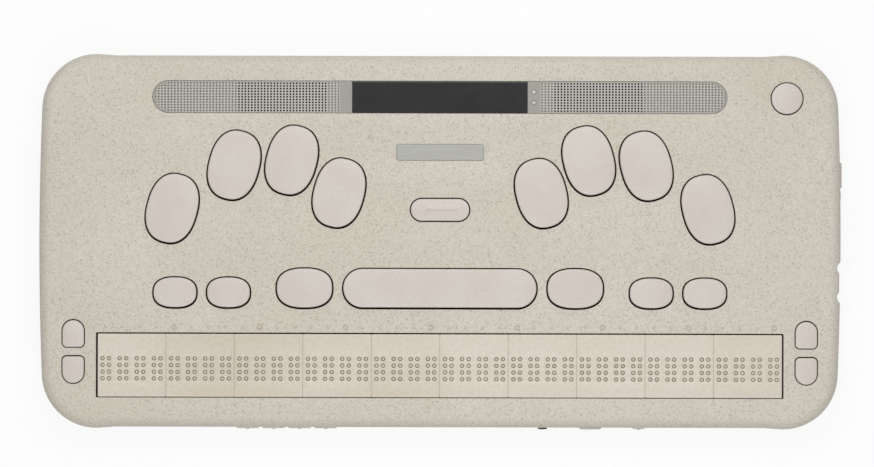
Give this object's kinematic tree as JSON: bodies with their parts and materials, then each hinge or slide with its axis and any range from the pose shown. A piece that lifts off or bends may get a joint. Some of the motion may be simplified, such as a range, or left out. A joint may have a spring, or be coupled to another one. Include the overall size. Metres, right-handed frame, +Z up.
{
  "type": "braille notetaker",
  "caption": "Flat beige braille notetaker with oval braille keys, space bar, speaker and message strip, and a refreshable braille line in front.",
  "frame": {"origin": "centre of the footprint, on the plane the rubber feet stand on", "axes": "+X right along the braille line, +Y toward the rear, +Z up out of the deck"},
  "size_m": [0.3005, 0.1404, 0.0209],
  "materials": {
    "case_plastic": "fine speckled texture",
    "key_plastic": "smooth satin",
    "cap_plastic": "smooth satin",
    "pin_plastic": "smooth satin",
    "grille_metal": "fine satin, perforated",
    "window_plastic": "smoked gloss",
    "plate_metal": "satin, bare",
    "lens_plastic": "frosted",
    "dark_plastic": "satin",
    "foot_rubber": "matte",
    "screw_steel": "plain",
    "port_steel": "plain",
    "reed_metal": "plain",
    "board_laminate": "solder mask",
    "mat_silicone": "translucent matte",
    "battery_foil": "wrapped foil"
  },
  "bodies": {
    "case": {"top_case": "case_plastic", "bottom_case": "case_plastic", "battery_cover": "case_plastic", "case_screws": "screw_steel", "small_screws": "screw_steel", "rubber_feet": "foot_rubber", "speaker_grilles": "grille_metal", "display_window": "window_plastic", "lcd_module": "dark_plastic", "speakers": "dark_plastic", "indicator_lenses": "lens_plastic", "name_plate": "plate_metal", "braille_caps": "cap_plastic", "cell_carriers": "dark_plastic", "piezo_reeds": "reed_metal", "braille_board": "board_laminate", "key_mat": "mat_silicone", "key_board": "board_laminate", "main_board": "board_laminate", "front_board": "board_laminate", "battery_pack": "battery_foil", "audio_jack": "dark_plastic", "usb_c_port": "port_steel"},
    "dot_1_key": {"dot_1_key": "key_plastic"},
    "dot_2_key": {"dot_2_key": "key_plastic"},
    "dot_3_key": {"dot_3_key": "key_plastic"},
    "dot_4_key": {"dot_4_key": "key_plastic"},
    "dot_5_key": {"dot_5_key": "key_plastic"},
    "dot_6_key": {"dot_6_key": "key_plastic"},
    "backspace_key": {"backspace_key": "key_plastic"},
    "enter_key": {"enter_key": "key_plastic"},
    "function_1_key": {"function_1_key": "key_plastic"},
    "function_2_key": {"function_2_key": "key_plastic"},
    "function_3_key": {"function_3_key": "key_plastic"},
    "function_4_key": {"function_4_key": "key_plastic"},
    "control_key": {"control_key": "key_plastic"},
    "alt_key": {"alt_key": "key_plastic"},
    "space_bar": {"space_bar": "key_plastic"},
    "home_key": {"home_key": "key_plastic"},
    "power_key": {"power_key": "key_plastic"},
    "left_scroll_up": {"left_scroll_up": "key_plastic"},
    "left_scroll_down": {"left_scroll_down": "key_plastic"},
    "right_scroll_up": {"right_scroll_up": "key_plastic"},
    "right_scroll_down": {"right_scroll_down": "key_plastic"},
    "media_button_1": {"media_button_1": "key_plastic"},
    "media_button_2": {"media_button_2": "key_plastic"},
    "media_button_3": {"media_button_3": "key_plastic"},
    "media_button_4": {"media_button_4": "key_plastic"},
    "lock_switch": {"lock_switch": "dark_plastic"},
    "mode_switch": {"mode_switch": "key_plastic"},
    "push_button": {"push_button": "key_plastic"},
    "side_key": {"side_key": "key_plastic"},
    "dot_1_pins": {"dot_1_pins": "pin_plastic"},
    "dot_2_pins": {"dot_2_pins": "pin_plastic"},
    "dot_3_pins": {"dot_3_pins": "pin_plastic"},
    "dot_4_pins": {"dot_4_pins": "pin_plastic"},
    "dot_5_pins": {"dot_5_pins": "pin_plastic"},
    "dot_6_pins": {"dot_6_pins": "pin_plastic"},
    "dot_7_pins": {"dot_7_pins": "pin_plastic"},
    "dot_8_pins": {"dot_8_pins": "pin_plastic"}
  },
  "joints": [
    {"name": "dot_1_key_press", "type": "slide", "parent": "case", "child": "dot_1_key", "axis": [0, 0, -1], "range_m": [0, 0.0012], "stiffness_N_per_m": 350, "springref_m": -0.001, "deforming": ["key_mat"]},
    {"name": "dot_2_key_press", "type": "slide", "parent": "case", "child": "dot_2_key", "axis": [0, 0, -1], "range_m": [0, 0.0012], "stiffness_N_per_m": 350, "springref_m": -0.001, "deforming": ["key_mat"]},
    {"name": "dot_3_key_press", "type": "slide", "parent": "case", "child": "dot_3_key", "axis": [0, 0, -1], "range_m": [0, 0.0012], "stiffness_N_per_m": 350, "springref_m": -0.001, "deforming": ["key_mat"]},
    {"name": "dot_4_key_press", "type": "slide", "parent": "case", "child": "dot_4_key", "axis": [0, 0, -1], "range_m": [0, 0.0012], "stiffness_N_per_m": 350, "springref_m": -0.001, "deforming": ["key_mat"]},
    {"name": "dot_5_key_press", "type": "slide", "parent": "case", "child": "dot_5_key", "axis": [0, 0, -1], "range_m": [0, 0.0012], "stiffness_N_per_m": 350, "springref_m": -0.001, "deforming": ["key_mat"]},
    {"name": "dot_6_key_press", "type": "slide", "parent": "case", "child": "dot_6_key", "axis": [0, 0, -1], "range_m": [0, 0.0012], "stiffness_N_per_m": 350, "springref_m": -0.001, "deforming": ["key_mat"]},
    {"name": "backspace_key_press", "type": "slide", "parent": "case", "child": "backspace_key", "axis": [0, 0, -1], "range_m": [0, 0.0012], "stiffness_N_per_m": 350, "springref_m": -0.001, "deforming": ["key_mat"]},
    {"name": "enter_key_press", "type": "slide", "parent": "case", "child": "enter_key", "axis": [0, 0, -1], "range_m": [0, 0.0012], "stiffness_N_per_m": 350, "springref_m": -0.001, "deforming": ["key_mat"]},
    {"name": "function_1_key_press", "type": "slide", "parent": "case", "child": "function_1_key", "axis": [0, 0, -1], "range_m": [0, 0.0012], "stiffness_N_per_m": 350, "springref_m": -0.001, "deforming": ["key_mat"]},
    {"name": "function_2_key_press", "type": "slide", "parent": "case", "child": "function_2_key", "axis": [0, 0, -1], "range_m": [0, 0.0012], "stiffness_N_per_m": 350, "springref_m": -0.001, "deforming": ["key_mat"]},
    {"name": "function_3_key_press", "type": "slide", "parent": "case", "child": "function_3_key", "axis": [0, 0, -1], "range_m": [0, 0.0012], "stiffness_N_per_m": 350, "springref_m": -0.001, "deforming": ["key_mat"]},
    {"name": "function_4_key_press", "type": "slide", "parent": "case", "child": "function_4_key", "axis": [0, 0, -1], "range_m": [0, 0.0012], "stiffness_N_per_m": 350, "springref_m": -0.001, "deforming": ["key_mat"]},
    {"name": "control_key_press", "type": "slide", "parent": "case", "child": "control_key", "axis": [0, 0, -1], "range_m": [0, 0.0012], "stiffness_N_per_m": 350, "springref_m": -0.001, "deforming": ["key_mat"]},
    {"name": "alt_key_press", "type": "slide", "parent": "case", "child": "alt_key", "axis": [0, 0, -1], "range_m": [0, 0.0012], "stiffness_N_per_m": 350, "springref_m": -0.001, "deforming": ["key_mat"]},
    {"name": "space_bar_press", "type": "slide", "parent": "case", "child": "space_bar", "axis": [0, 0, -1], "range_m": [0, 0.0012], "stiffness_N_per_m": 350, "springref_m": -0.001, "deforming": ["key_mat"]},
    {"name": "home_key_press", "type": "slide", "parent": "case", "child": "home_key", "axis": [0, 0, -1], "range_m": [0, 0.0012], "stiffness_N_per_m": 350, "springref_m": -0.001, "deforming": ["key_mat"]},
    {"name": "power_key_press", "type": "slide", "parent": "case", "child": "power_key", "axis": [0, 0, -1], "range_m": [0, 0.0012], "stiffness_N_per_m": 350, "springref_m": -0.001, "deforming": ["key_mat"]},
    {"name": "left_scroll_up_press", "type": "slide", "parent": "case", "child": "left_scroll_up", "axis": [0, 0, -1], "range_m": [0, 0.0012], "stiffness_N_per_m": 350, "springref_m": -0.001, "deforming": ["key_mat"]},
    {"name": "left_scroll_down_press", "type": "slide", "parent": "case", "child": "left_scroll_down", "axis": [0, 0, -1], "range_m": [0, 0.0012], "stiffness_N_per_m": 350, "springref_m": -0.001, "deforming": ["key_mat"]},
    {"name": "right_scroll_up_press", "type": "slide", "parent": "case", "child": "right_scroll_up", "axis": [0, 0, -1], "range_m": [0, 0.0012], "stiffness_N_per_m": 350, "springref_m": -0.001, "deforming": ["key_mat"]},
    {"name": "right_scroll_down_press", "type": "slide", "parent": "case", "child": "right_scroll_down", "axis": [0, 0, -1], "range_m": [0, 0.0012], "stiffness_N_per_m": 350, "springref_m": -0.001, "deforming": ["key_mat"]},
    {"name": "media_button_1_press", "type": "slide", "parent": "case", "child": "media_button_1", "axis": [0, 1, 0], "range_m": [0, 0.0006], "stiffness_N_per_m": 600, "springref_m": -0.001},
    {"name": "media_button_2_press", "type": "slide", "parent": "case", "child": "media_button_2", "axis": [0, 1, 0], "range_m": [0, 0.0006], "stiffness_N_per_m": 600, "springref_m": -0.001},
    {"name": "media_button_3_press", "type": "slide", "parent": "case", "child": "media_button_3", "axis": [0, 1, 0], "range_m": [0, 0.0006], "stiffness_N_per_m": 600, "springref_m": -0.001},
    {"name": "media_button_4_press", "type": "slide", "parent": "case", "child": "media_button_4", "axis": [0, 1, 0], "range_m": [0, 0.0006], "stiffness_N_per_m": 600, "springref_m": -0.001},
    {"name": "push_button_press", "type": "slide", "parent": "case", "child": "push_button", "axis": [0, 1, 0], "range_m": [0, 0.0006], "stiffness_N_per_m": 600, "springref_m": -0.001},
    {"name": "side_key_press", "type": "slide", "parent": "case", "child": "side_key", "axis": [-1, 0, 0], "range_m": [0, 0.0006], "stiffness_N_per_m": 600, "springref_m": -0.001},
    {"name": "lock_switch_slide", "type": "slide", "parent": "case", "child": "lock_switch", "axis": [1, 0, 0], "range_m": [-0.0015, 0.0015]},
    {"name": "mode_switch_slide", "type": "slide", "parent": "case", "child": "mode_switch", "axis": [1, 0, 0], "range_m": [-0.0015, 0.0015]},
    {"name": "dot_1_pins_rise", "type": "slide", "parent": "case", "child": "dot_1_pins", "axis": [0, 0, 1], "range_m": [0, 0.0007]},
    {"name": "dot_2_pins_rise", "type": "slide", "parent": "case", "child": "dot_2_pins", "axis": [0, 0, 1], "range_m": [0, 0.0007]},
    {"name": "dot_3_pins_rise", "type": "slide", "parent": "case", "child": "dot_3_pins", "axis": [0, 0, 1], "range_m": [0, 0.0007]},
    {"name": "dot_4_pins_rise", "type": "slide", "parent": "case", "child": "dot_4_pins", "axis": [0, 0, 1], "range_m": [0, 0.0007]},
    {"name": "dot_5_pins_rise", "type": "slide", "parent": "case", "child": "dot_5_pins", "axis": [0, 0, 1], "range_m": [0, 0.0007]},
    {"name": "dot_6_pins_rise", "type": "slide", "parent": "case", "child": "dot_6_pins", "axis": [0, 0, 1], "range_m": [0, 0.0007]},
    {"name": "dot_7_pins_rise", "type": "slide", "parent": "case", "child": "dot_7_pins", "axis": [0, 0, 1], "range_m": [0, 0.0007]},
    {"name": "dot_8_pins_rise", "type": "slide", "parent": "case", "child": "dot_8_pins", "axis": [0, 0, 1], "range_m": [0, 0.0007]}
  ]
}
